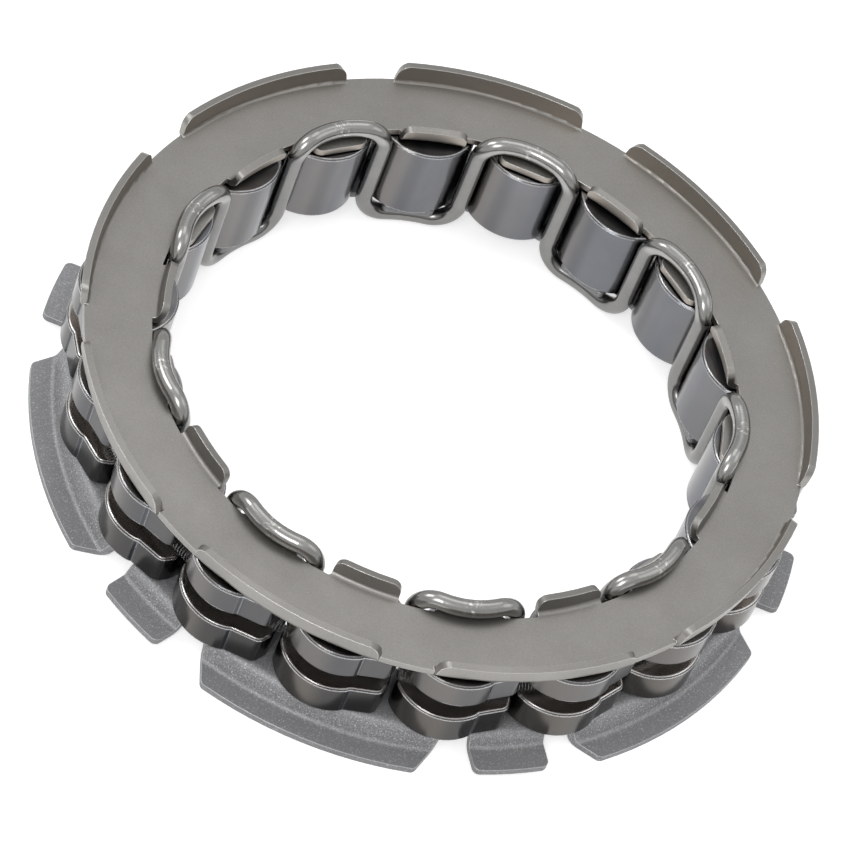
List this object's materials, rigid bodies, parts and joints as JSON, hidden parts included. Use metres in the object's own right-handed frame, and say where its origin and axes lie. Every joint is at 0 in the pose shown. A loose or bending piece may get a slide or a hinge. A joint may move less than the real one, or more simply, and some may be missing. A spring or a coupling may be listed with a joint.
{
  "type": "sprag clutch",
  "caption": "Ring-shaped one-way clutch insert whose rocking sprags wedge between a shaft and a housing bore, so that it drives one way and runs free the other.",
  "frame": {"origin": "on the clutch axis, level with the underside of the flange lips", "axes": "+Z along the clutch axis from the flange plate to the top plate; the middle of a small lip points along +X"},
  "size_m": [0.0644, 0.0644, 0.0122],
  "materials": {
    "top_plate_steel": "satin stamped sheet",
    "flange_plate_steel": "fine grained stamped sheet",
    "cage_wire_steel": "bright drawn wire",
    "garter_spring_steel": "oiled spring wire",
    "sprag_steel": "ground and hardened"
  },
  "bodies": {
    "cage": {"top_plate": "top_plate_steel", "flange_plate": "flange_plate_steel", "cage_wire": "cage_wire_steel", "garter_spring": "garter_spring_steel"},
    "sprag_01": {"sprag_01": "sprag_steel"},
    "sprag_02": {"sprag_02": "sprag_steel"},
    "sprag_03": {"sprag_03": "sprag_steel"},
    "sprag_04": {"sprag_04": "sprag_steel"},
    "sprag_05": {"sprag_05": "sprag_steel"},
    "sprag_06": {"sprag_06": "sprag_steel"},
    "sprag_07": {"sprag_07": "sprag_steel"},
    "sprag_08": {"sprag_08": "sprag_steel"},
    "sprag_09": {"sprag_09": "sprag_steel"},
    "sprag_10": {"sprag_10": "sprag_steel"},
    "sprag_11": {"sprag_11": "sprag_steel"},
    "sprag_12": {"sprag_12": "sprag_steel"},
    "sprag_13": {"sprag_13": "sprag_steel"},
    "sprag_14": {"sprag_14": "sprag_steel"},
    "sprag_15": {"sprag_15": "sprag_steel"},
    "sprag_16": {"sprag_16": "sprag_steel"},
    "sprag_17": {"sprag_17": "sprag_steel"},
    "sprag_18": {"sprag_18": "sprag_steel"}
  },
  "joints": [
    {"name": "sprag_01_rock", "type": "hinge", "parent": "cage", "child": "sprag_01", "pos_m": [0.02561, 0.00451, 0.00611], "axis": [0, 0, 1], "range_deg": [-8, 3], "stiffness_Nm_per_rad": 0.005},
    {"name": "sprag_02_rock", "type": "hinge", "parent": "cage", "child": "sprag_02", "pos_m": [0.02252, 0.013, 0.00611], "axis": [0, 0, 1], "range_deg": [-8, 3], "stiffness_Nm_per_rad": 0.005},
    {"name": "sprag_03_rock", "type": "hinge", "parent": "cage", "child": "sprag_03", "pos_m": [0.01671, 0.01992, 0.00611], "axis": [0, 0, 1], "range_deg": [-8, 3], "stiffness_Nm_per_rad": 0.005},
    {"name": "sprag_04_rock", "type": "hinge", "parent": "cage", "child": "sprag_04", "pos_m": [0.00889, 0.02443, 0.00611], "axis": [0, 0, 1], "range_deg": [-8, 3], "stiffness_Nm_per_rad": 0.005},
    {"name": "sprag_05_rock", "type": "hinge", "parent": "cage", "child": "sprag_05", "pos_m": [0, 0.026, 0.00611], "axis": [0, 0, 1], "range_deg": [-8, 3], "stiffness_Nm_per_rad": 0.005},
    {"name": "sprag_06_rock", "type": "hinge", "parent": "cage", "child": "sprag_06", "pos_m": [-0.00889, 0.02443, 0.00611], "axis": [0, 0, 1], "range_deg": [-8, 3], "stiffness_Nm_per_rad": 0.005},
    {"name": "sprag_07_rock", "type": "hinge", "parent": "cage", "child": "sprag_07", "pos_m": [-0.01671, 0.01992, 0.00611], "axis": [0, 0, 1], "range_deg": [-8, 3], "stiffness_Nm_per_rad": 0.005},
    {"name": "sprag_08_rock", "type": "hinge", "parent": "cage", "child": "sprag_08", "pos_m": [-0.02252, 0.013, 0.00611], "axis": [0, 0, 1], "range_deg": [-8, 3], "stiffness_Nm_per_rad": 0.005},
    {"name": "sprag_09_rock", "type": "hinge", "parent": "cage", "child": "sprag_09", "pos_m": [-0.02561, 0.00451, 0.00611], "axis": [0, 0, 1], "range_deg": [-8, 3], "stiffness_Nm_per_rad": 0.005},
    {"name": "sprag_10_rock", "type": "hinge", "parent": "cage", "child": "sprag_10", "pos_m": [-0.02561, -0.00451, 0.00611], "axis": [0, 0, 1], "range_deg": [-8, 3], "stiffness_Nm_per_rad": 0.005},
    {"name": "sprag_11_rock", "type": "hinge", "parent": "cage", "child": "sprag_11", "pos_m": [-0.02252, -0.013, 0.00611], "axis": [0, 0, 1], "range_deg": [-8, 3], "stiffness_Nm_per_rad": 0.005},
    {"name": "sprag_12_rock", "type": "hinge", "parent": "cage", "child": "sprag_12", "pos_m": [-0.01671, -0.01992, 0.00611], "axis": [0, 0, 1], "range_deg": [-8, 3], "stiffness_Nm_per_rad": 0.005},
    {"name": "sprag_13_rock", "type": "hinge", "parent": "cage", "child": "sprag_13", "pos_m": [-0.00889, -0.02443, 0.00611], "axis": [0, 0, 1], "range_deg": [-8, 3], "stiffness_Nm_per_rad": 0.005},
    {"name": "sprag_14_rock", "type": "hinge", "parent": "cage", "child": "sprag_14", "pos_m": [0, -0.026, 0.00611], "axis": [0, 0, 1], "range_deg": [-8, 3], "stiffness_Nm_per_rad": 0.005},
    {"name": "sprag_15_rock", "type": "hinge", "parent": "cage", "child": "sprag_15", "pos_m": [0.00889, -0.02443, 0.00611], "axis": [0, 0, 1], "range_deg": [-8, 3], "stiffness_Nm_per_rad": 0.005},
    {"name": "sprag_16_rock", "type": "hinge", "parent": "cage", "child": "sprag_16", "pos_m": [0.01671, -0.01992, 0.00611], "axis": [0, 0, 1], "range_deg": [-8, 3], "stiffness_Nm_per_rad": 0.005},
    {"name": "sprag_17_rock", "type": "hinge", "parent": "cage", "child": "sprag_17", "pos_m": [0.02252, -0.013, 0.00611], "axis": [0, 0, 1], "range_deg": [-8, 3], "stiffness_Nm_per_rad": 0.005},
    {"name": "sprag_18_rock", "type": "hinge", "parent": "cage", "child": "sprag_18", "pos_m": [0.02561, -0.00451, 0.00611], "axis": [0, 0, 1], "range_deg": [-8, 3], "stiffness_Nm_per_rad": 0.005}
  ],
  "couplings": [
    {"joint": "sprag_02_rock", "follows": "sprag_01_rock", "ratio": 1},
    {"joint": "sprag_03_rock", "follows": "sprag_01_rock", "ratio": 1},
    {"joint": "sprag_04_rock", "follows": "sprag_01_rock", "ratio": 1},
    {"joint": "sprag_05_rock", "follows": "sprag_01_rock", "ratio": 1},
    {"joint": "sprag_06_rock", "follows": "sprag_01_rock", "ratio": 1},
    {"joint": "sprag_07_rock", "follows": "sprag_01_rock", "ratio": 1},
    {"joint": "sprag_08_rock", "follows": "sprag_01_rock", "ratio": 1},
    {"joint": "sprag_09_rock", "follows": "sprag_01_rock", "ratio": 1},
    {"joint": "sprag_10_rock", "follows": "sprag_01_rock", "ratio": 1},
    {"joint": "sprag_11_rock", "follows": "sprag_01_rock", "ratio": 1},
    {"joint": "sprag_12_rock", "follows": "sprag_01_rock", "ratio": 1},
    {"joint": "sprag_13_rock", "follows": "sprag_01_rock", "ratio": 1},
    {"joint": "sprag_14_rock", "follows": "sprag_01_rock", "ratio": 1},
    {"joint": "sprag_15_rock", "follows": "sprag_01_rock", "ratio": 1},
    {"joint": "sprag_16_rock", "follows": "sprag_01_rock", "ratio": 1},
    {"joint": "sprag_17_rock", "follows": "sprag_01_rock", "ratio": 1},
    {"joint": "sprag_18_rock", "follows": "sprag_01_rock", "ratio": 1}
  ]
}
